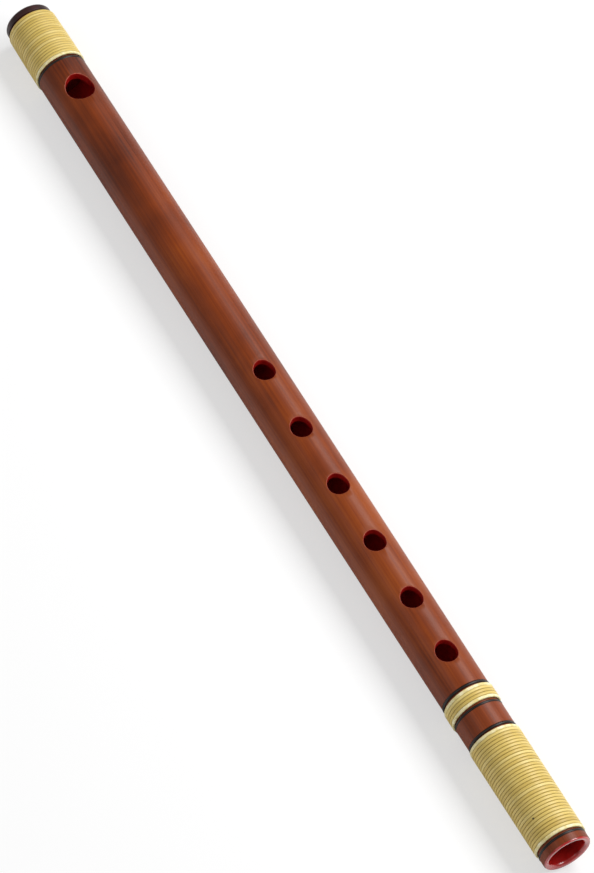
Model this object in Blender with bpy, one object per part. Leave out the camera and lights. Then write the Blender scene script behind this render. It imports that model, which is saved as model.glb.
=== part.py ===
"""A shinobue: a Japanese side-blown bamboo flute with a mouth hole and six finger holes.

The flute lies along X with its head at -X and its open foot at +X, and its holes face up.
Stations named x_... are measured along the bore from the head end. All lengths are in metres.
"""

import math

import bmesh
import bpy
from mathutils import Matrix, Vector

# Bore and walls. The outside follows from the bore, its lacquer and the wall of the bamboo.
BORE_DIAMETER = 0.0135
LACQUER_THICKNESS = 0.0003
FIT_GAP = 0.0003
HEAD_WALL = 0.00195
BELLY_WALL = 0.00236
FOOT_WALL = 0.0016
HEAD_TAPER_LENGTH = 0.030
BELLY_STATION = 0.110
FOOT_TAPER_POWER = 1.5

# Lengths along the flute, from the head end to the foot.
CAP_LENGTH = 0.0032
WRAP_TO_MOUTH = 0.0152
MOUTH_TO_FIRST = 0.1438
FINGER_PITCHES = (0.0273, 0.0268, 0.0262, 0.0258, 0.0240)
LAST_FINGER_TO_BAND = 0.0154
BAND_TO_FOOT_WRAP = 0.0105
FOOT_LENGTH = 0.00415

# Holes: length along the flute, then width across it.
MOUTH_HOLE = (0.0120, 0.0106)
FINGER_HOLE = (0.0088, 0.0077)

# Rattan strip and its three windings.
STRIP_WIDTH = 0.0012
STRIP_PITCH = 0.00125
STRIP_THICKNESS = 0.0006
STRIP_SHOULDER = 0.00025
SEAT_DEPTH = 0.0004
HEAD_WRAP_TURNS = 19
BAND_TURNS = 5
FOOT_WRAP_TURNS = 35

# Black lacquer lines that close the windings' edges.
EDGE_LINE_WIDTH = 0.0008
EDGE_LINE_THICKNESS = 0.0003

# Head closure.
CAP_SPIGOT_LENGTH = 0.0050
CAP_ROUNDING = 0.0012
MOUTH_TO_STOP = 0.0115
STOP_LENGTH = 0.0045
STOP_DISH = 0.0006

# Foot lip, turned over the end of the bamboo.
LIP_THICKNESS = 0.0006
LIP_INSET = 0.0004
LIP_ROUNDING = 0.00025

TUBE_SIDES = 32
LINING_SIDES = 32
HOLE_SIDES = 24
STRIP_STEPS_PER_TURN = 16
RING_SIDES = 24
ROUNDING_STEPS = 3

# Radii and stations that follow from the sizes above.
BORE_RADIUS = BORE_DIAMETER / 2
LINING_RADIUS = BORE_RADIUS + LACQUER_THICKNESS
BAMBOO_BORE_RADIUS = LINING_RADIUS + FIT_GAP
PLUG_RADIUS = BAMBOO_BORE_RADIUS - FIT_GAP


def winding_length(turns):
    """Length along the flute that a strip with this many turns covers."""
    return turns * STRIP_PITCH + STRIP_WIDTH


x_tube_head = CAP_LENGTH + FIT_GAP
x_head_wrap = x_tube_head
x_head_wrap_end = x_head_wrap + winding_length(HEAD_WRAP_TURNS)
x_mouth = x_head_wrap_end + WRAP_TO_MOUTH
x_fingers = [x_mouth + MOUTH_TO_FIRST]
for pitch in FINGER_PITCHES:
    x_fingers.append(x_fingers[-1] + pitch)
x_band = x_fingers[-1] + LAST_FINGER_TO_BAND
x_band_end = x_band + winding_length(BAND_TURNS)
x_foot_wrap = x_band_end + BAND_TO_FOOT_WRAP
x_foot_wrap_end = x_foot_wrap + winding_length(FOOT_WRAP_TURNS)
x_foot = x_foot_wrap_end + FOOT_LENGTH
x_tube_foot = x_foot - LIP_THICKNESS - FIT_GAP
x_stop_face = x_mouth - MOUTH_TO_STOP
EDGE_ROOM = FIT_GAP + EDGE_LINE_WIDTH + FIT_GAP


def wall(x):
    """Thickness of the bamboo wall at station x, thickest at the belly."""
    if x < HEAD_TAPER_LENGTH:
        share = 1 - x / HEAD_TAPER_LENGTH
        return BELLY_WALL - (BELLY_WALL - HEAD_WALL) * share**2
    if x < BELLY_STATION:
        return BELLY_WALL
    share = (x - BELLY_STATION) / (x_foot - BELLY_STATION)
    return BELLY_WALL - (BELLY_WALL - FOOT_WALL) * share**FOOT_TAPER_POWER


def outer_radius(x):
    """Outside radius of the bamboo at station x."""
    return BAMBOO_BORE_RADIUS + wall(x)


def clear_scene():
    """Removes whatever the file holds."""
    for obj in list(bpy.data.objects):
        bpy.data.objects.remove(obj)


def make_material(name, colour, roughness, metallic=0.0):
    """A plain Principled material."""
    material = bpy.data.materials.new(name)
    material.use_nodes = True
    shader = material.node_tree.nodes["Principled BSDF"]
    shader.inputs["Base Color"].default_value = (*colour, 1.0)
    shader.inputs["Roughness"].default_value = roughness
    shader.inputs["Metallic"].default_value = metallic
    return material


def add_object(name, bm, material, smooth_angle=35):
    """Closes a bmesh into a named object with outward faces."""
    bmesh.ops.recalc_face_normals(bm, faces=bm.faces)
    mesh = bpy.data.meshes.new(name)
    bm.to_mesh(mesh)
    bm.free()
    mesh.shade_smooth()
    mesh.set_sharp_from_angle(angle=math.radians(smooth_angle))
    obj = bpy.data.objects.new(name, mesh)
    bpy.context.scene.collection.objects.link(obj)
    if material:
        mesh.materials.append(material)
    return obj


def turned_mesh(profile, sides):
    """Turns a closed outline of (station, radius) points about the bore's axis."""
    bm = bmesh.new()
    half_side = math.pi / sides
    points = [bm.verts.new((x, 0, r)) for x, r in profile]
    edges = [bm.edges.new((a, b)) for a, b in zip(points, points[1:] + points[:1])]
    edges = [e for e in edges if max(v.co.z for v in e.verts) > 0]
    bmesh.ops.rotate(bm, verts=points, cent=(0, 0, 0), matrix=Matrix.Rotation(half_side, 3, "X"))
    bmesh.ops.spin(
        bm,
        geom=points + edges,
        cent=(0, 0, 0),
        axis=(1, 0, 0),
        angle=math.tau,
        steps=sides,
        use_merge=True,
    )
    bmesh.ops.remove_doubles(bm, verts=bm.verts, dist=0.000001)
    loose = [e for e in bm.edges if not e.link_faces]
    bmesh.ops.delete(bm, geom=loose, context="EDGES")
    return bm


def turned(name, profile, material=None, sides=TUBE_SIDES):
    """A turned piece as an object."""
    return add_object(name, turned_mesh(profile, sides), material)


def rounding(x, r, size, towards_head, steps=ROUNDING_STEPS):
    """Points of a quarter round at the outer corner (x, r), from its face to its side."""
    side = 1 if towards_head else -1
    angles = [math.pi / 2 * i / steps for i in range(steps + 1)]
    return [(x + side * size * (1 - math.sin(a)), r - size * (1 - math.cos(a))) for a in reversed(angles)]


def boolean(obj, other, operation):
    """Applies a Boolean of other to obj, removes other, and joins the points that meet."""
    modifier = obj.modifiers.new(operation.lower(), "BOOLEAN")
    modifier.operation = operation
    modifier.solver = "EXACT"
    modifier.object = other
    depsgraph = bpy.context.evaluated_depsgraph_get()
    result = bpy.data.meshes.new_from_object(obj.evaluated_get(depsgraph))
    obj.modifiers.clear()
    obj.data = result
    bpy.data.objects.remove(other)
    bm = bmesh.new()
    bm.from_mesh(result)
    bmesh.ops.remove_doubles(bm, verts=bm.verts, dist=0.000002)
    bmesh.ops.dissolve_degenerate(bm, edges=bm.edges, dist=0.000001)
    bm.to_mesh(result)
    bm.free()


def holes():
    """Every hole as (station, size)."""
    return [(x_mouth, MOUTH_HOLE)] + [(x, FINGER_HOLE) for x in x_fingers]


def oval_pegs(margin):
    """An upright oval post through every hole, from the axis up, wider than it by margin all round."""
    height = BAMBOO_BORE_RADIUS + 2 * BELLY_WALL
    bm = bmesh.new()
    for x, size in holes():
        post = bmesh.ops.create_cone(
            bm, cap_ends=True, segments=HOLE_SIDES, radius1=0.5, radius2=0.5, depth=1.0
        )["verts"]
        scale = (size[0] + 2 * margin, size[1] + 2 * margin, height)
        bmesh.ops.scale(bm, verts=post, vec=scale)
        bmesh.ops.translate(bm, verts=post, vec=(x, 0, height / 2))
    return add_object("pegs", bm, None)


def stations_between(start, end, spacing=0.025):
    """Evenly spaced stations from start to end."""
    count = max(1, round((end - start) / spacing))
    return [start + (end - start) * i / count for i in range(count + 1)]


def build_tube(material):
    """Bamboo culm: bored through, with a shallow seat under each winding and its edge lines."""
    seats = [
        (x_tube_head, x_head_wrap_end + EDGE_ROOM),
        (x_band - EDGE_ROOM, x_band_end + EDGE_ROOM),
        (x_foot_wrap - EDGE_ROOM, x_foot_wrap_end + EDGE_ROOM),
    ]
    outline = []
    here = x_tube_head
    for start, end in seats:
        if start > here:
            outline += [(x, outer_radius(x)) for x in stations_between(here, start)]
        outline += [(x, outer_radius(x) - SEAT_DEPTH) for x in stations_between(start, end, 0.012)]
        here = end
    outline += [(x, outer_radius(x)) for x in stations_between(here, x_tube_foot)]
    outline += [(x_tube_foot, BAMBOO_BORE_RADIUS), (x_tube_head, BAMBOO_BORE_RADIUS)]
    tube = turned("tube", outline, material)
    boolean(tube, oval_pegs(LACQUER_THICKNESS + FIT_GAP), "DIFFERENCE")
    return tube


def build_lining(material):
    """Red lacquer: a skin through the bore, a collar in every hole and the lip over the foot."""
    start = x_stop_face + FIT_GAP
    lip_radius = outer_radius(x_foot) - LIP_INSET
    outline = [(start, 0), (start, LINING_RADIUS)]
    outline += [(x_foot - LIP_THICKNESS, LINING_RADIUS), (x_foot - LIP_THICKNESS, lip_radius)]
    outline += list(reversed(rounding(x_foot, lip_radius, LIP_ROUNDING, False)))
    outline += [(x_foot, 0)]
    lining = turned("bore_lining", outline, material, LINING_SIDES)
    collars = oval_pegs(LACQUER_THICKNESS)
    first = x_mouth - MOUTH_HOLE[0]
    last = x_fingers[-1] + FINGER_HOLE[0]
    skin = [(x, outer_radius(x)) for x in stations_between(first, last)]
    boolean(collars, turned("skin", [(first, 0)] + skin + [(last, 0)]), "INTERSECT")
    boolean(lining, collars, "UNION")
    bore_end = x_foot + FOOT_LENGTH
    bore = [(0, 0), (0, BORE_RADIUS), (bore_end, BORE_RADIUS), (bore_end, 0)]
    boolean(lining, turned("bore", bore, None, LINING_SIDES), "DIFFERENCE")
    boolean(lining, oval_pegs(0), "DIFFERENCE")
    return lining


def build_cap(material):
    """Head cap: a rounded end with a spigot in the bore."""
    radius = outer_radius(x_tube_head)
    outline = [(0, 0)] + rounding(0, radius, CAP_ROUNDING, True)
    outline += [(CAP_LENGTH, radius), (CAP_LENGTH, PLUG_RADIUS)]
    outline += [(CAP_LENGTH + CAP_SPIGOT_LENGTH, PLUG_RADIUS), (CAP_LENGTH + CAP_SPIGOT_LENGTH, 0)]
    return turned("head_cap", outline, material)


def build_plug(material):
    """Wooden filler between the cap's spigot and the stop."""
    start = CAP_LENGTH + CAP_SPIGOT_LENGTH + FIT_GAP
    end = x_stop_face - STOP_LENGTH - FIT_GAP
    outline = [(start, 0), (start, PLUG_RADIUS), (end, PLUG_RADIUS), (end, 0)]
    return turned("head_plug", outline, material, RING_SIDES)


def build_stop(material):
    """Wax stop beside the mouth hole, with a slightly dished face towards the bore."""
    start = x_stop_face - STOP_LENGTH
    outline = [(start, 0), (start, PLUG_RADIUS), (x_stop_face, PLUG_RADIUS)]
    outline += [(x_stop_face - STOP_DISH * 0.75, PLUG_RADIUS / 2), (x_stop_face - STOP_DISH, 0)]
    return turned("bore_stop", outline, material, RING_SIDES)


def build_winding(name, start, turns, hand, material):
    """A flat rattan strip wound round the tube: one section, spun and advanced along the axis."""
    bm = bmesh.new()
    section = [
        (0, 0),
        (STRIP_WIDTH, 0),
        (STRIP_WIDTH - STRIP_SHOULDER, STRIP_THICKNESS),
        (STRIP_SHOULDER, STRIP_THICKNESS),
    ]
    reference = outer_radius(start)
    steps = turns * STRIP_STEPS_PER_TURN
    rings = []
    half_step = math.pi / STRIP_STEPS_PER_TURN
    for i in range(steps + 1):
        angle = -math.pi / 2 + half_step + hand * i * 2 * half_step
        advance = start + i * STRIP_PITCH / STRIP_STEPS_PER_TURN
        ring = []
        for dx, dr in section:
            x = advance + dx
            r = outer_radius(x) - SEAT_DEPTH + FIT_GAP + dr
            ring.append(bm.verts.new((x, r * math.cos(angle), r * math.sin(angle))))
        rings.append(ring)
    for a, b in zip(rings, rings[1:]):
        for k in range(len(section)):
            n = (k + 1) % len(section)
            bm.faces.new((a[k], a[n], b[n], b[k]))
    bm.faces.new(rings[0])
    bm.faces.new(rings[-1])
    bmesh.ops.triangulate(bm, faces=bm.faces)
    return add_object(name, bm, material)


def build_edge_line(name, x, material):
    """A low ring of black lacquer against the edge of a winding."""
    low = outer_radius(x) - SEAT_DEPTH + FIT_GAP
    high = low + EDGE_LINE_THICKNESS
    shoulder = EDGE_LINE_WIDTH / 4
    outline = [
        (x, low),
        (x, low + EDGE_LINE_THICKNESS / 2),
        (x + shoulder, high),
        (x + EDGE_LINE_WIDTH - shoulder, high),
        (x + EDGE_LINE_WIDTH, low + EDGE_LINE_THICKNESS / 2),
        (x + EDGE_LINE_WIDTH, low),
    ]
    return turned(name, outline, material, RING_SIDES)


def build_flute():
    """Builds every piece, then lays the flute on its windings with the origin under its middle."""
    clear_scene()
    bamboo = make_material("bamboo", (0.155, 0.030, 0.003), 0.35)
    red = make_material("red_lacquer", (0.235, 0.008, 0.006), 0.2)
    black = make_material("black_lacquer", (0.012, 0.007, 0.006), 0.3)
    rattan = make_material("rattan", (0.56, 0.42, 0.13), 0.5)
    wood = make_material("plug_wood", (0.45, 0.28, 0.14), 0.6)
    wax = make_material("wax", (0.30, 0.05, 0.02), 0.4)

    before = FIT_GAP + EDGE_LINE_WIDTH
    pieces = [
        build_tube(bamboo),
        build_lining(red),
        build_cap(black),
        build_plug(wood),
        build_stop(wax),
        build_winding("head_wrap", x_head_wrap, HEAD_WRAP_TURNS, 1, rattan),
        build_winding("foot_band", x_band, BAND_TURNS, 1, rattan),
        build_winding("foot_wrap", x_foot_wrap, FOOT_WRAP_TURNS, -1, rattan),
        build_edge_line("head_wrap_edge_line", x_head_wrap_end + FIT_GAP, black),
        build_edge_line("foot_band_edge_line_head", x_band - before, black),
        build_edge_line("foot_band_edge_line_foot", x_band_end + FIT_GAP, black),
        build_edge_line("foot_wrap_edge_line_head", x_foot_wrap - before, black),
        build_edge_line("foot_wrap_edge_line_foot", x_foot_wrap_end + FIT_GAP, black),
    ]
    lowest = min(v.co.z for piece in pieces for v in piece.data.vertices)
    rest = bpy.data.objects.new("flute_axis", None)
    bpy.context.scene.collection.objects.link(rest)
    rest.location = Vector((-x_foot / 2, 0, -lowest))
    for piece in pieces:
        piece.parent = rest


build_flute()
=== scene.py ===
# %% [markdown]
# # A lacquered bamboo flute
#
# A shinobue is a side-blown bamboo flute. The bamboo is lacquered brown outside and red
# inside, and split rattan is wound round its head and foot. This script loads the exact
# frame of the flute and gives every piece its finished surface. It starts with the frame.

# %% Load the frame
import math

import bpy
import numpy as np
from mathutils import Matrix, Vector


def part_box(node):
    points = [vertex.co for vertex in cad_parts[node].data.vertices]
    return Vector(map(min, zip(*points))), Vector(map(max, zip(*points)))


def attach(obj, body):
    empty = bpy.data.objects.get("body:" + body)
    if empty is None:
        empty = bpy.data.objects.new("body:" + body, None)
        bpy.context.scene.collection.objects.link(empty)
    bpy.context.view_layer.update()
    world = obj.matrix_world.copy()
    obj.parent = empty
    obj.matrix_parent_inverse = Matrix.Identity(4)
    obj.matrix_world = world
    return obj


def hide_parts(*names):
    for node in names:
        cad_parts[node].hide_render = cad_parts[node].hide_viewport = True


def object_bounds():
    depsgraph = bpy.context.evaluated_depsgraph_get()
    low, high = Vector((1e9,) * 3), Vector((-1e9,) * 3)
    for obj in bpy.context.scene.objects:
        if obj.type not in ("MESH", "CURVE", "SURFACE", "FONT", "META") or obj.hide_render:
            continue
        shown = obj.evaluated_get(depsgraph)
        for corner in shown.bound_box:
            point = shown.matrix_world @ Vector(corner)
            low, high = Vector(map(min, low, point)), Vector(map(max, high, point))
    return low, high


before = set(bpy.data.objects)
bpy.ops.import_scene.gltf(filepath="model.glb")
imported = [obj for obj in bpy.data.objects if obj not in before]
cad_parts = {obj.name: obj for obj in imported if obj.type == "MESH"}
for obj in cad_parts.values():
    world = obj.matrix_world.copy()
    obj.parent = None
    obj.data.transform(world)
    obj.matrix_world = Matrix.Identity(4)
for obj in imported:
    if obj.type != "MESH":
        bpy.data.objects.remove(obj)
cad_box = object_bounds()
head_x = cad_box[0][0]
plug_low, plug_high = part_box("head_plug")
axis_z = (plug_low[2] + plug_high[2]) / 2
print("head end at", round(head_x, 4), "and the bore's axis at height", round(axis_z, 5))

# %% [markdown]
# ## Sizes
#
# Stations are measured in metres along the flute from its head end, and radii from the
# bore's axis. The windings and lines are placed by the frame. The holes and the outside
# of the bamboo have their own sizes here, the same as the frame's.

# %% Sizes of the bamboo and its holes
FLUTE_LENGTH = cad_box[1][0] - cad_box[0][0]
BORE_RADIUS = 0.00675
HEAD_BORE_RADIUS = 0.00735
HEAD_RADIUS = 0.00930
BELLY_RADIUS = 0.00971
FOOT_RADIUS = 0.00895
HEAD_TAPER_LENGTH = 0.030
BELLY_STATION = 0.110
SEAT_DEPTH = 0.0004
FIT_GAP = 0.0003
MOUTH_STATION = 0.04365
MOUTH_SIZE = (0.0120, 0.0106)
FINGER_STATIONS = (0.18745, 0.21475, 0.24155, 0.26775, 0.29355, 0.31755)
FINGER_SIZE = (0.0088, 0.0077)
HOLES = [(MOUTH_STATION, *MOUTH_SIZE)] + [(station, *FINGER_SIZE) for station in FINGER_STATIONS]


def radius_at(station):
    """Outside radius of the bamboo: it swells a little past the head and thins to the foot."""
    if station < HEAD_TAPER_LENGTH:
        share = 1 - station / HEAD_TAPER_LENGTH
        return BELLY_RADIUS - (BELLY_RADIUS - HEAD_RADIUS) * share**2
    share = max(0, station - BELLY_STATION) / (FLUTE_LENGTH - BELLY_STATION)
    return BELLY_RADIUS - (BELLY_RADIUS - FOOT_RADIUS) * share**1.5


def span(node):
    """First and last station of a piece of the frame."""
    low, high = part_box(node)
    return low[0] - head_x, high[0] - head_x


print("the flute is", round(FLUTE_LENGTH * 1000, 1), "mm long")

# %% [markdown]
# ## Colours and nodes
#
# Colours are written as they look on a screen, as hex values. Blender's shaders work in
# linear light, so one function converts them. A second one adds a node, sets it up and
# links it, and that is all a material needs.


# %% Helpers for materials
def linear(hex_colour):
    """A screen colour such as 7A3A10 as the linear colour that a shader reads."""
    channels = [int(hex_colour[i : i + 2], 16) / 255 for i in (0, 2, 4)]
    return [c / 12.92 if c <= 0.04045 else ((c + 0.055) / 1.055) ** 2.4 for c in channels] + [1]


def add_node(tree, kind, inputs, **settings):
    """Adds a node. An input is a value, or a socket of another node to link to it."""
    node = tree.nodes.new(kind)
    for name, value in settings.items():
        setattr(node, name, value)
    for name, value in inputs.items():
        if isinstance(value, bpy.types.NodeSocket):
            tree.links.new(value, node.inputs[name])
        else:
            node.inputs[name].default_value = value
    return node


def new_material(name, inputs):
    """A material with its Principled shader set, as (material, node tree, shader)."""
    material = bpy.data.materials.new(name)
    material.use_nodes = True
    shader = material.node_tree.nodes["Principled BSDF"]
    for key, value in inputs.items():
        shader.inputs[key].default_value = value
    return material, material.node_tree, shader


def colour_ramp(tree, factor, stops):
    """A colour ramp through (position, hex colour) stops, as its colour socket."""
    node = add_node(tree, "ShaderNodeValToRGB", {"Fac": factor})
    elements = node.color_ramp.elements
    for position, colour in stops[2:]:
        elements.new(position)
    for element, (position, colour) in zip(elements, stops):
        element.position = position
        element.color = linear(colour)
    return node.outputs["Color"]


# %% [markdown]
# ## Lacquered bamboo
#
# Bamboo under translucent brown lacquer shows its fibres as fine streaks along the flute.
# The lacquer pools unevenly, so its brown drifts slowly from chestnut to near black, and
# it darkens towards the head. The finish is rubbed down, so a thin clear coat gives only a
# soft highlight. The streaks are noise stretched along X, 0.7 mm across and 40 mm long,
# and the slow drift is noise about 26 mm across. The two are added, with a little taken
# off towards the head, and a ramp turns the sum into browns.

# %% Lacquered bamboo
FIBRE_WIDTH = 0.0007
FIBRE_LENGTH = 0.040
PATCHES_PER_METRE = 38
HEAD_FADE = {"From Min": -0.20, "From Max": 0.02, "To Min": -0.10, "To Max": 0}
bamboo, tree, shader = new_material(
    "lacquered_bamboo",
    {"Roughness": 0.5, "Specular IOR Level": 0.25, "Coat Weight": 0.12, "Coat Roughness": 0.25},
)
place = add_node(tree, "ShaderNodeTexCoord", {}).outputs["Object"]
stretch = {"Vector": place, "Scale": (1 / FIBRE_LENGTH, 1 / FIBRE_WIDTH, 1 / FIBRE_WIDTH)}
along = add_node(tree, "ShaderNodeMapping", stretch).outputs["Vector"]
fibres = add_node(tree, "ShaderNodeTexNoise", {"Vector": along, "Scale": 1, "Detail": 4})
patches = {"Vector": place, "Scale": PATCHES_PER_METRE, "Detail": 3}
clouds = add_node(tree, "ShaderNodeTexNoise", patches)
streaks = {"Value": fibres.outputs["Fac"], "To Min": 0.12, "To Max": 0.42}
fine = add_node(tree, "ShaderNodeMapRange", streaks)
drift = {"Value": clouds.outputs["Fac"], "To Min": 0.0, "To Max": 0.42}
slow = add_node(tree, "ShaderNodeMapRange", drift)
both = add_node(tree, "ShaderNodeMath", {0: fine.outputs[0], 1: slow.outputs[0]})
split = add_node(tree, "ShaderNodeSeparateXYZ", {"Vector": place})
fade = {"Value": split.outputs["X"], **HEAD_FADE}
head_end = add_node(tree, "ShaderNodeMapRange", fade)
tone = add_node(tree, "ShaderNodeMath", {0: both.outputs[0], 1: head_end.outputs[0]})
browns = [(0.25, "3F1100"), (0.46, "7A3000"), (0.68, "9A4804")]
brown = colour_ramp(tree, tone.outputs[0], browns)
tree.links.new(brown, shader.inputs["Base Color"])
grain = {"Height": fibres.outputs["Fac"], "Strength": 0.15, "Distance": 0.0002}
relief = add_node(tree, "ShaderNodeBump", grain)
tree.links.new(relief.outputs["Normal"], shader.inputs["Normal"])
print("made", bamboo.name)

# %% [markdown]
# ## Red, black and dark lacquers
#
# The bore, the walls of the holes and the lip over the foot have vermilion lacquer,
# brushed on and glossy. Where it turns over the edge of a hole it is rubbed thin and
# shows paler. The lines beside the windings are black lacquer, and the head's cap is a
# very dark purple brown. All of them are nearly even, with patches of tone a few
# millimetres across, so one function makes them from two hex colours. It also serves the
# other even finishes further on.


# %% Lacquers
def make_even_finish(name, dark, light, patch_size, inputs):
    """A brushed or rubbed finish that drifts between two colours over patches of that size."""
    material, tree, shader = new_material(name, inputs)
    place = add_node(tree, "ShaderNodeTexCoord", {}).outputs["Object"]
    settings = {"Vector": place, "Scale": 1 / patch_size, "Detail": 5, "Roughness": 0.6}
    patches = add_node(tree, "ShaderNodeTexNoise", settings)
    colour = colour_ramp(tree, patches.outputs["Fac"], [(0.35, dark), (0.65, light)])
    tree.links.new(colour, shader.inputs["Base Color"])
    waves = {"Height": patches.outputs["Fac"], "Strength": 0.08, "Distance": 0.0003}
    relief = add_node(tree, "ShaderNodeBump", waves)
    tree.links.new(relief.outputs["Normal"], shader.inputs["Normal"])
    return material


glossy = {"Roughness": 0.28, "IOR": 1.5, "Coat Weight": 0.8, "Coat Roughness": 0.08}
satin = {"Roughness": 0.45, "Specular IOR Level": 0.3, "Coat Weight": 0.1, "Coat Roughness": 0.3}
vermilion = make_even_finish("vermilion_lacquer", "95110E", "B01A15", 0.004, glossy)
rubbed = make_even_finish("rubbed_vermilion_edge", "8E2A1C", "B65A46", 0.0015, satin)
black = make_even_finish("brushed_black_lacquer", "0E0604", "1A0E0A", 0.002, satin)
cap_lacquer = make_even_finish("dark_cap_lacquer", "24100F", "3A1A19", 0.003, satin)
print("made", vermilion.name, rubbed.name, black.name, cap_lacquer.name)

# %% [markdown]
# ## Split rattan
#
# The cane's tone drifts along the strip, so turns differ, and fine fibres run along it.
# The strip's UV map counts turns in U and runs across the strip in V, from 0 to 1. Its
# edges are painted darker, partly for lacquer that gathers there and partly as painted shade
# in the grooves between turns. One small dark fleck sits on the foot winding. The first
# and last turns are glued down, rubbed and paler, with their own finish.

# %% Split rattan
FLECK = (head_x + 0.3862, -0.0061, axis_z + 0.0073)
FLECK_RADIUS = 0.0003
FLECK_FADE_RADIUS = 0.0005
STRANDS = (2.2, 9, 1)
TONES_PER_TURN = (0.9, 0, 1)
EDGE_SHADE = {"From Min": 0.34, "From Max": 0.5, "To Max": 0.45}
rattan, tree, shader = new_material(
    "split_rattan",
    {"Roughness": 0.5, "IOR": 1.5, "Coat Weight": 0.2, "Coat Roughness": 0.3},
)
strip_uv = add_node(tree, "ShaderNodeUVMap", {}, uv_map="strip").outputs["UV"]
lengthwise = {"Vector": strip_uv, "Scale": STRANDS}
strands = add_node(tree, "ShaderNodeMapping", lengthwise).outputs["Vector"]
fibres = add_node(tree, "ShaderNodeTexNoise", {"Vector": strands, "Scale": 1.6, "Detail": 4})
turns = {"Vector": strip_uv, "Scale": TONES_PER_TURN}
each_turn = add_node(tree, "ShaderNodeMapping", turns).outputs["Vector"]
tones = add_node(tree, "ShaderNodeTexNoise", {"Vector": each_turn, "Scale": 1, "Detail": 3})
streaks = {"Value": fibres.outputs["Fac"], "To Min": 0, "To Max": 0.5}
fine = add_node(tree, "ShaderNodeMapRange", streaks)
drift = {"Value": tones.outputs["Fac"], "To Min": 0, "To Max": 0.5}
slow = add_node(tree, "ShaderNodeMapRange", drift)
both = add_node(tree, "ShaderNodeMath", {0: fine.outputs[0], 1: slow.outputs[0]})
cream = colour_ramp(tree, both.outputs[0], [(0.3, "AC8C3C"), (0.5, "D2B65C"), (0.68, "EBD994")])
across = add_node(tree, "ShaderNodeSeparateXYZ", {"Vector": strip_uv}).outputs["Y"]
centred = add_node(tree, "ShaderNodeMath", {0: across, 1: 0.5}, operation="SUBTRACT")
off_centre = add_node(tree, "ShaderNodeMath", {0: centred.outputs[0]}, operation="ABSOLUTE")
# Painted shade: the strip's edges are mixed towards dark brown, partly for lacquer gathered
# there and partly for the shade between turns.
painted_edge_shade_share = add_node(tree, "ShaderNodeMapRange", {"Value": off_centre.outputs[0], **EDGE_SHADE})
edged = {0: painted_edge_shade_share.outputs[0], 6: cream, 7: linear("6E5424")}
shade = add_node(tree, "ShaderNodeMix", edged, data_type="RGBA")
cane = {"Height": fibres.outputs["Fac"], "Strength": 0.25, "Distance": 0.0001}
relief = add_node(tree, "ShaderNodeBump", cane)
tree.links.new(relief.outputs["Normal"], shader.inputs["Normal"])
fleck_place = {0: add_node(tree, "ShaderNodeTexCoord", {}).outputs["Object"], 1: FLECK}
fleck_distance = add_node(tree, "ShaderNodeVectorMath", fleck_place, operation="DISTANCE")
reach = {"From Min": FLECK_RADIUS, "From Max": FLECK_FADE_RADIUS, "To Min": 0.9, "To Max": 0}
distance = {"Value": fleck_distance.outputs["Value"], **reach}
fleck_share = add_node(tree, "ShaderNodeMapRange", distance)
marked = {0: fleck_share.outputs[0], 6: shade.outputs[2], 7: linear("1A120A")}
flecked = add_node(tree, "ShaderNodeMix", marked, data_type="RGBA")
tree.links.new(flecked.outputs[2], shader.inputs["Base Color"])
edge_rattan = make_even_finish("pale_edge_rattan", "D8C478", "F4ECC4", 0.002, {"Roughness": 0.5})
print("made", rattan.name, "and", edge_rattan.name)

# %% [markdown]
# ## The pieces inside the head
#
# A wooden filler and a wax stop close the bore beside the mouth hole. Their shapes come
# from the frame as they are, so they only need their finishes.

# %% Filler and stop
plain = {"Roughness": 0.6, "IOR": 1.5}
plug_wood = make_even_finish("turned_magnolia_wood", "9C7A50", "B8986C", 0.003, plain)
stop_wax = make_even_finish("red_stopping_wax", "6E1A12", "8A261B", 0.002, plain)
for node, material in (("head_plug", plug_wood), ("bore_stop", stop_wax)):
    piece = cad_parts[node]
    piece.data.materials.clear()
    piece.data.materials.append(material)
    print("finished", node)

# %% [markdown]
# ## Turned pieces
#
# The bamboo, the cap and the black lines are all round, so each is made as on a lathe.
# A circle is added at the first point of the outline, then extruded and scaled from one
# point of the outline to the next. A closed outline meets its own first ring at the end,
# and an open one has both its end rings filled.


# %% Turning
def finish_piece(piece, name, nodes, angle=40):
    """Names a piece, smooths it, hangs it under the root body and hides the frame nodes it
    replaces.
    """
    piece.name = name
    bpy.ops.object.transform_apply(location=True, rotation=True, scale=True)
    bpy.ops.object.shade_smooth_by_angle(angle=math.radians(angle))
    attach(piece, "root")
    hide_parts(*nodes)
    print(name, "has", len(piece.data.polygons), "faces")


TURNED_SIDES = 128
MERGE_DISTANCE = 0.000001


def turn(outline, closed=True):
    """Turns an outline of (station, radius) points about the flute's axis."""
    bpy.ops.object.select_all(action="DESELECT")
    station, radius = outline[0]
    bpy.ops.mesh.primitive_circle_add(
        vertices=TURNED_SIDES,
        radius=radius,
        location=(head_x + station, 0, axis_z),
        rotation=(0, math.pi / 2, 0),
    )
    piece = bpy.context.object
    bpy.ops.object.transform_apply(location=True, rotation=True)
    bpy.ops.object.mode_set(mode="EDIT")
    targets = outline[1:] + outline[:1] if closed else outline[1:]
    for next_station, next_radius in targets:
        step = (next_station - station, 0, 0)
        bpy.ops.mesh.extrude_region_move(TRANSFORM_OT_translate={"value": step})
        size = next_radius / radius
        centre = (head_x + next_station, 0, axis_z)
        bpy.ops.transform.resize(value=(1, size, size), center_override=centre)
        station, radius = next_station, next_radius
    bpy.ops.mesh.select_all(action="SELECT")
    bpy.ops.mesh.remove_doubles(threshold=MERGE_DISTANCE)
    if not closed:
        bpy.ops.mesh.fill_holes(sides=0)
    bpy.ops.mesh.select_all(action="SELECT")
    bpy.ops.mesh.normals_make_consistent(inside=False)
    bpy.ops.object.mode_set(mode="OBJECT")
    return piece


CORNER_STEPS = 6


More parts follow.
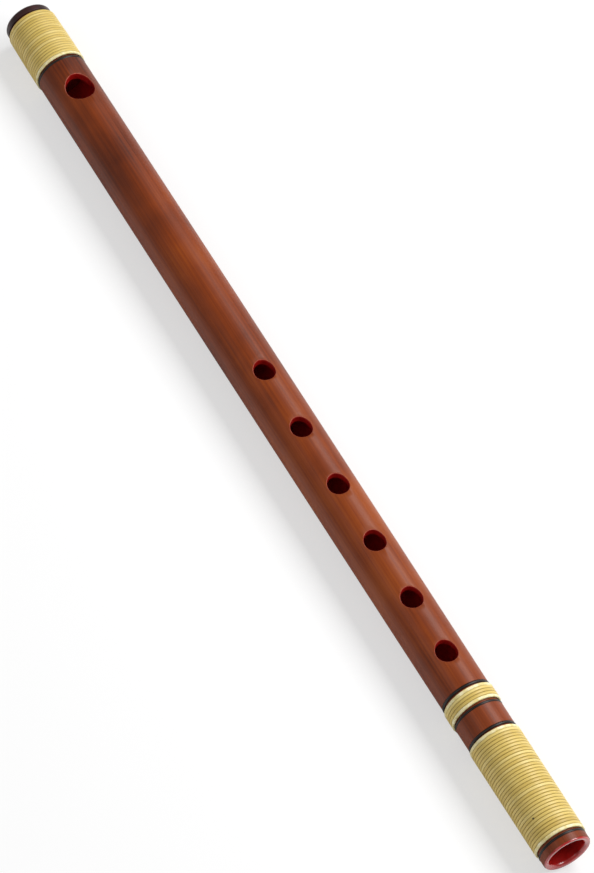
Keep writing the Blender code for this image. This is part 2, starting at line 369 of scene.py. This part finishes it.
def corner(station, radius, size, first_angle):
    """Points of a quarter round about (station, radius), turning down from first_angle."""
    angles = [math.radians(first_angle - 90 * i / CORNER_STEPS) for i in range(CORNER_STEPS + 1)]
    return [(station + size * math.cos(a), radius + size * math.sin(a)) for a in angles]


# %% [markdown]
# ## The bamboo and its bore
#
# The outline runs down the outside with a shallow seat under each winding and its lines,
# rounds over the red lip at the foot, and comes back up the bore. The corner into the bore
# is drawn with its radii below zero, because it turns the other way, and then flipped up.
# The bore is wider inside the head, where it has no lacquer.

# %% Outline of the bamboo
OUTLINE_STEP = 0.004
LIP_LENGTH = 0.0006
LIP_GROOVE = 0.00015
LIP_ROUNDING = 0.0004
BORE_ROUNDING = 0.0013
tube_start = span("tube")[0]
seats = [
    (tube_start, span("head_wrap_edge_line")[1]),
    (span("foot_band_edge_line_head")[0], span("foot_band_edge_line_foot")[1]),
    (span("foot_wrap_edge_line_head")[0], span("foot_wrap_edge_line_foot")[1]),
]


def surface_points(start, end, depth):
    """Evenly spaced points of the outside from start to end, sunk by depth."""
    count = max(1, round((end - start) / OUTLINE_STEP))
    stations = [start + (end - start) * i / count for i in range(count + 1)]
    return [(s, radius_at(s) - depth) for s in stations]


outline = []
here = tube_start
for seat_start, seat_end in seats:
    if seat_start > here:
        outline += surface_points(here, seat_start, 0)
    outline += surface_points(seat_start, seat_end, SEAT_DEPTH)
    here = seat_end
lip_start = FLUTE_LENGTH - LIP_LENGTH
lip_radius = radius_at(FLUTE_LENGTH) - LIP_GROOVE - LIP_ROUNDING
outline += surface_points(here, lip_start, 0)
outline += [(lip_start, radius_at(lip_start) - LIP_GROOVE)]
outline += corner(FLUTE_LENGTH - LIP_ROUNDING, lip_radius, LIP_ROUNDING, 90)
flare_radius = BORE_RADIUS + BORE_ROUNDING
bore_corner = corner(FLUTE_LENGTH - BORE_ROUNDING, -flare_radius, BORE_ROUNDING, 90)
outline += [(station, -radius) for station, radius in reversed(bore_corner)]
bore_start = span("bore_lining")[0]
outline += [(bore_start, BORE_RADIUS), (bore_start, HEAD_BORE_RADIUS)]
outline += [(tube_start, HEAD_BORE_RADIUS)]
flute = turn(outline)
print("the bamboo's outline has", len(outline), "points")

# %% [markdown]
# ## The holes
#
# Every hole is an upright oval with its edge softened by wear. Each ring of FLARE is how
# much wider the cutter gets and how deep that ring lies under the bamboo's outside. The
# rings follow the round of the bamboo, so the edge is evenly soft all the way round. The
# cut faces keep the cutter's finishes: red on the walls and rubbed red on the edge. All
# the cutters are joined, so that one Boolean cuts them all.

# %% Cut the holes
CUTTER_SIDES = 96
FLARE = [(0.0, 0.0005), (0.00003, 0.00022), (0.0001, 0.00008), (0.0003, -0.00007)]
CUTTER_BOTTOM = BORE_RADIUS * 0.3
CUTTER_ABOVE = 0.002
EDGE_TILT = -0.35
EDGE_HEIGHT = 0.004
OVERSHOOT = 0.00001
flute.data.materials.append(bamboo)
flute.data.materials.append(vermilion)
flute.data.materials.append(rubbed)


def hole_cutter(station, length, width):
    """An oval post that flares out just below the bamboo's round outside."""
    bpy.ops.object.select_all(action="DESELECT")
    bpy.ops.mesh.primitive_circle_add(vertices=CUTTER_SIDES, radius=1, location=(0, 0, 0))
    cutter = bpy.context.object
    bpy.ops.object.mode_set(mode="EDIT")
    for _ in range(len(FLARE) + 1):
        bpy.ops.mesh.extrude_region_move(TRANSFORM_OT_translate={"value": (0, 0, 1)})
    bpy.ops.object.mode_set(mode="OBJECT")
    for vertex in cutter.data.vertices:
        ring = round(vertex.co.z)
        angle = math.atan2(vertex.co.y, vertex.co.x)
        grow, depth = FLARE[min(max(ring - 1, 0), len(FLARE) - 1)]
        x = (length / 2 + grow) * math.cos(angle)
        y = (width / 2 + grow) * math.sin(angle)
        height = math.sqrt((radius_at(station + x) - depth) ** 2 - y**2)
        if ring == 0:
            height = CUTTER_BOTTOM
        if ring == len(FLARE) + 1:
            height = radius_at(station) + CUTTER_ABOVE
        vertex.co = (head_x + station + x, y, axis_z + height)
    bpy.ops.object.mode_set(mode="EDIT")
    bpy.ops.mesh.select_all(action="SELECT")
    bpy.ops.mesh.fill_holes(sides=0)
    bpy.ops.mesh.select_all(action="SELECT")
    bpy.ops.mesh.normals_make_consistent(inside=False)
    bpy.ops.object.mode_set(mode="OBJECT")
    for material in (bamboo, vermilion, rubbed):
        cutter.data.materials.append(material)
    for face in cutter.data.polygons:
        on_edge = face.normal.z < EDGE_TILT and face.center.z > axis_z + EDGE_HEIGHT
        face.material_index = 2 if on_edge else 1
    return cutter


cutters = [hole_cutter(*hole) for hole in HOLES]
bpy.ops.object.select_all(action="DESELECT")
for cutter in cutters:
    cutter.select_set(True)
bpy.context.view_layer.objects.active = cutters[0]
bpy.ops.object.join()
cutter = bpy.context.object
bpy.ops.object.select_all(action="DESELECT")
bpy.context.view_layer.objects.active = flute
flute.select_set(True)
cut = flute.modifiers.new("holes", "BOOLEAN")
cut.operation = "DIFFERENCE"
cut.solver = "EXACT"
cut.material_mode = "TRANSFER"
cut.object = cutter
bpy.ops.object.modifier_apply(modifier=cut.name)
bpy.data.objects.remove(cutter)
top = max(vertex.co.z for vertex in flute.data.vertices) - axis_z
if top > BELLY_RADIUS + OVERSHOOT:
    raise RuntimeError("a hole wasn't cut")
print("cut", len(HOLES), "holes")

# %% [markdown]
# The rest of the red is found by its place: the lip beyond the end of the bamboo, and the
# faces of the bore from the stop to the foot.

# %% Red bore and lip
PLACE_MARGIN = 0.0001
STOP_MARGIN = 0.001
for face in flute.data.polygons:
    radius = math.hypot(face.center.y, face.center.z - axis_z)
    station = face.center.x - head_x
    on_lip = station > lip_start + PLACE_MARGIN
    in_bore = radius < HEAD_BORE_RADIUS + PLACE_MARGIN and station > bore_start - STOP_MARGIN
    if on_lip or (in_bore and face.material_index == 0):
        face.material_index = 1
finish_piece(flute, "lacquered_culm", ("tube", "bore_lining"))

# %% [markdown]
# ## The cap
#
# The head is closed by a dark cap with a well rounded edge. Its outline starts near the
# axis, goes round the edge and ends inside the bore, where its spigot hides.

# %% Cap
CAP_LENGTH = 0.0032
CAP_ROUNDING = 0.0014
CAP_BEVEL = 0.0002
CAP_INSET = 0.00005
CAP_CENTRE_RADIUS = 0.0005
CAP_FACE_RADIUS = 0.004
cap_radius = radius_at(CAP_LENGTH) - CAP_INSET
spigot_radius = HEAD_BORE_RADIUS - FIT_GAP
spigot_end = span("head_cap")[1]
outline = [(0, CAP_CENTRE_RADIUS), (0, CAP_FACE_RADIUS)]
outline += corner(CAP_ROUNDING, cap_radius - CAP_ROUNDING, CAP_ROUNDING, 180)
outline += [(CAP_LENGTH - CAP_BEVEL, cap_radius), (CAP_LENGTH, cap_radius - CAP_BEVEL)]
outline += [(CAP_LENGTH, spigot_radius), (spigot_end, spigot_radius)]
outline += [(spigot_end, CAP_CENTRE_RADIUS)]
cap = turn(outline, closed=False)
cap.data.materials.append(cap_lacquer)
finish_piece(cap, "rounded_head_cap", ("head_cap",))

# %% [markdown]
# ## The black lines
#
# A low rounded ring of black lacquer closes each open edge of a winding. It is brushed
# right up to the rattan, so it also fills the gap that the frame leaves there. A line's
# name ends in head where it is on its winding's head side.

# %% Black lines
LINE_HEIGHT = 0.0004
LINE_SIDE_HEIGHT = 0.0001
LINE_LIFT = 0.00002
LINE_STEPS = 8
for node in [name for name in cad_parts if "edge_line" in name]:
    start, end = span(node)
    if node.endswith("head"):
        end += FIT_GAP
    else:
        start -= FIT_GAP
    half = (end - start) / 2
    base = radius_at((start + end) / 2) - SEAT_DEPTH + LINE_LIFT
    side = base + LINE_SIDE_HEIGHT
    arc = [math.pi * i / LINE_STEPS for i in range(LINE_STEPS + 1)]
    dome = [(start + half - half * math.cos(a), side + LINE_HEIGHT * math.sin(a)) for a in arc]
    line = turn([(start, base)] + dome + [(end, base)])
    line.data.materials.append(black)
    finish_piece(line, node.replace("edge_line", "lacquer_line"), (node,))

# %% [markdown]
# ## The rattan windings
#
# A winding is one strip of split rattan, flat below and gently domed on top. Its section
# is a circle pressed to that shape, under the flute so that both ends of the strip are out
# of sight. Powers under 1 square the circle up.

# %% Section of the strip
STRIP_WIDTH = 0.0012
STRIP_PITCH = 0.00125
STRIP_THICKNESS = 0.0006
STRIP_SIDE_SHARE = 0.25
SIDE_POWER = 0.7
TOP_POWER = 0.5
SECTION_POINTS = 14


def strip_section(low):
    """The outline of the strip, standing on radius low below the axis."""
    bpy.ops.object.select_all(action="DESELECT")
    bpy.ops.mesh.primitive_circle_add(vertices=SECTION_POINTS, radius=1, location=(0, 0, 0))
    strip = bpy.context.object
    for vertex in strip.data.vertices:
        angle = math.atan2(vertex.co.y, vertex.co.x)
        across = math.copysign(abs(math.cos(angle)) ** SIDE_POWER, math.cos(angle))
        up = max(0, math.sin(angle)) ** TOP_POWER
        height = STRIP_SIDE_SHARE + (1 - STRIP_SIDE_SHARE) * up if up > 0 else 0
        vertex.co = (STRIP_WIDTH / 2 * (1 + across), 0, -low - STRIP_THICKNESS * height)
    return strip


# %% [markdown]
# A Screw modifier winds the section: one turn moves it on by its pitch. Every point then
# knows how many turns it is along the strip from its angle and its place along the flute.
# That gives the strip's UV map. The flute tapers, so the points are moved in to follow it.

# %% Rattan strips
STEPS_PER_TURN = 80
ROUNDING_ROOM = 0.02
PALE_TURNS = 0.9


def wind(node, name, hand):
    """Winds a strip over the length of a frame piece. hand is 1, or -1 for the other way."""
    start, end = span(node)
    turns = round((end - start - STRIP_WIDTH) / STRIP_PITCH)
    strip = strip_section(radius_at(start) - SEAT_DEPTH + FIT_GAP)
    strip.location = (head_x + start, 0, axis_z)
    screw = strip.modifiers.new("winding", "SCREW")
    screw.axis = "X"
    screw.angle = hand * math.tau
    screw.screw_offset = STRIP_PITCH
    screw.iterations = turns
    screw.steps = STEPS_PER_TURN
    screw.render_steps = STEPS_PER_TURN
    bpy.ops.object.modifier_apply(modifier=screw.name)
    bpy.ops.object.mode_set(mode="EDIT")
    bpy.ops.mesh.select_all(action="SELECT")
    bpy.ops.mesh.fill_holes(sides=0)
    bpy.ops.mesh.select_all(action="SELECT")
    bpy.ops.mesh.normals_make_consistent(inside=False)
    bpy.ops.object.mode_set(mode="OBJECT")
    points = np.empty(len(strip.data.vertices) * 3)
    strip.data.vertices.foreach_get("co", points)
    points = points.reshape(-1, 3)
    phase = np.arctan2(hand * points[:, 1], -points[:, 2]) / math.tau % 1
    turn_count = np.floor((points[:, 0] / STRIP_PITCH - phase) + ROUNDING_ROOM) + phase
    across = (points[:, 0] - turn_count * STRIP_PITCH) / STRIP_WIDTH
    taper = np.array([radius_at(start + x) for x in points[:, 0]]) - radius_at(start)
    radii = np.hypot(points[:, 1], points[:, 2])
    points[:, 1:] *= ((radii + taper) / radii)[:, None]
    strip.data.vertices.foreach_set("co", points.ravel())
    corners = np.empty(len(strip.data.loops), dtype=int)
    strip.data.loops.foreach_get("vertex_index", corners)
    uv = strip.data.uv_layers.new(name="strip")
    uv.data.foreach_set("uv", np.stack([turn_count[corners], across[corners]], axis=1).ravel())
    strip.data.materials.append(rattan)
    strip.data.materials.append(edge_rattan)
    for face in strip.data.polygons:
        turn_here = turn_count[face.vertices[0]]
        if turn_here > turns - PALE_TURNS or (turn_here < PALE_TURNS and node != "head_wrap"):
            face.material_index = 1
    finish_piece(strip, name, (node,), angle=60)
    print(turns, "turns, and V runs from", across.min().round(2), "to", across.max().round(2))


wind("head_wrap", "head_rattan_winding", 1)
wind("foot_band", "narrow_rattan_band", 1)
wind("foot_wrap", "foot_rattan_winding", -1)

# %% [markdown]
# ## Floor, light and camera
#
# The floor is white to the camera, which sees part of it as its own glow, and it keeps the
# flute's soft shadow. A long soft box on the right draws the highlight along the lacquer,
# and a weaker one fills the left.

# %% Floor
FLOOR_SIZE = 6
FLOOR_GLOW_SHARE = 0.55
bpy.ops.object.select_all(action="DESELECT")
bpy.ops.mesh.primitive_plane_add(size=FLOOR_SIZE, location=(0, 0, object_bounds()[0][2]))
floor = bpy.context.object
floor.name = "floor"
matt_white = {"Roughness": 0.9, "Base Color": linear("F4F4F4")}
paper, tree, shader = new_material("white_paper", matt_white)
rays = add_node(tree, "ShaderNodeLightPath", {})
glow = add_node(tree, "ShaderNodeEmission", {"Strength": 1.0})
part = {0: rays.outputs["Is Camera Ray"], 1: FLOOR_GLOW_SHARE}
share = add_node(tree, "ShaderNodeMath", part, operation="MULTIPLY")
layers = {0: share.outputs[0], 1: shader.outputs[0], 2: glow.outputs[0]}
mixed = add_node(tree, "ShaderNodeMixShader", layers)
tree.links.new(mixed.outputs[0], tree.nodes["Material Output"].inputs["Surface"])
floor.data.materials.append(paper)

# %% Light
ROOM_LIGHT = 0.28
world = bpy.data.worlds.new("studio")
world.use_nodes = True
bpy.context.scene.world = world
world_tree = world.node_tree
rays = add_node(world_tree, "ShaderNodeLightPath", {})
seen = {"Value": rays.outputs["Is Camera Ray"], "To Min": ROOM_LIGHT, "To Max": 1.0}
strength = add_node(world_tree, "ShaderNodeMapRange", seen)
background = world_tree.nodes["Background"]
background.inputs["Color"].default_value = (1, 1, 1, 1)
world_tree.links.new(strength.outputs[0], background.inputs["Strength"])


def soft_box(name, place, size, watts):
    """A rectangular lamp tilted to face the flute's axis, its long side along X."""
    bpy.ops.object.light_add(type="AREA", location=place)
    lamp = bpy.context.object
    lamp.name = name
    lamp.data.shape = "RECTANGLE"
    lamp.data.size = size[0]
    lamp.data.size_y = size[1]
    lamp.data.energy = watts
    lamp.rotation_euler = (-math.atan2(place[1], place[2]), 0, 0)


soft_box("key_soft_box", place=(0.10, 0.62, 0.75), size=(1.3, 0.45), watts=13)
soft_box("fill_soft_box", place=(0.0, -0.75, 0.9), size=(1.2, 0.6), watts=2.5)

# %% [markdown]
# The camera was solved from the flute's own perspective in the photograph: how its
# thickness, holes and windings shrink from foot to head. TURN is how far the flute's foot
# comes towards the camera, TILT is how far its holes turn to the picture's right, and the
# roll lays the flute across the picture's diagonal.

# %% Camera
LENS = 168.43
SENSOR_WIDTH = 36
TURN = math.radians(27.9)
TILT = math.radians(20)
DISTANCE = 1.448
AIM_X = 0.01241
ROLL_COS, ROLL_SIN = 0.54407, 0.83904
along = (math.cos(TURN), math.sin(TILT) * math.sin(TURN), -math.sin(TURN) * math.cos(TILT))
aside = (0, math.cos(TILT), math.sin(TILT))
back = (math.sin(TURN), -math.sin(TILT) * math.cos(TURN), math.cos(TURN) * math.cos(TILT))
right = [ROLL_COS * a + ROLL_SIN * b for a, b in zip(along, aside)]
up = [-ROLL_SIN * a + ROLL_COS * b for a, b in zip(along, aside)]
bpy.ops.object.camera_add()
camera = bpy.context.object
place = [AIM_X + DISTANCE * back[0], DISTANCE * back[1], axis_z + DISTANCE * back[2]]
camera.matrix_world = [
    (right[0], right[1], right[2], 0),
    (up[0], up[1], up[2], 0),
    (back[0], back[1], back[2], 0),
    (*place, 1),
]
camera.data.lens = LENS
camera.data.sensor_width = SENSOR_WIDTH
bpy.context.scene.camera = camera
bpy.context.scene.view_settings.view_transform = "Standard"
print("camera at", [round(value, 3) for value in place])
